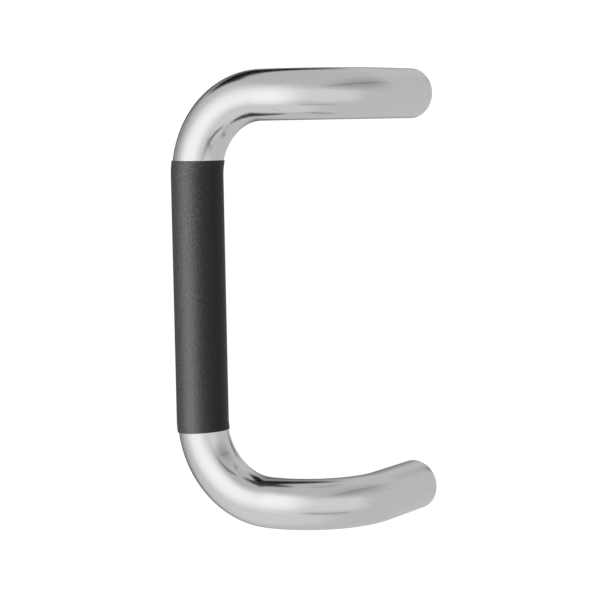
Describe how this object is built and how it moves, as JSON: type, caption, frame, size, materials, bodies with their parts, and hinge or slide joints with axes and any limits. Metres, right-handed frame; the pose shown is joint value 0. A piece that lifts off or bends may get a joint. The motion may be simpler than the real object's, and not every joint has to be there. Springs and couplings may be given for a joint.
{
  "type": "offset door pull handle",
  "caption": "Offset pull handle for a door: a bent stainless steel bar whose upright grip, in a black rubber sleeve, stands to one side of its fixing holes.",
  "frame": {"origin": "on the door's face, midway between the two fixing holes", "axes": "+Y into the door, square to its face; +Z along the grip and from the lower fixing hole to the upper one; +X from the grip's side towards the fixing holes"},
  "size_m": [0.107, 0.0895, 0.2286],
  "materials": {
    "satin_steel": "satin stainless steel, brushed along the bar",
    "sleeve_rubber": "black satin rubber with a fine mottled grain"
  },
  "bodies": {
    "root": {"pull_bar": "satin_steel", "grip_sleeve": "sleeve_rubber"}
  },
  "joints": []
}
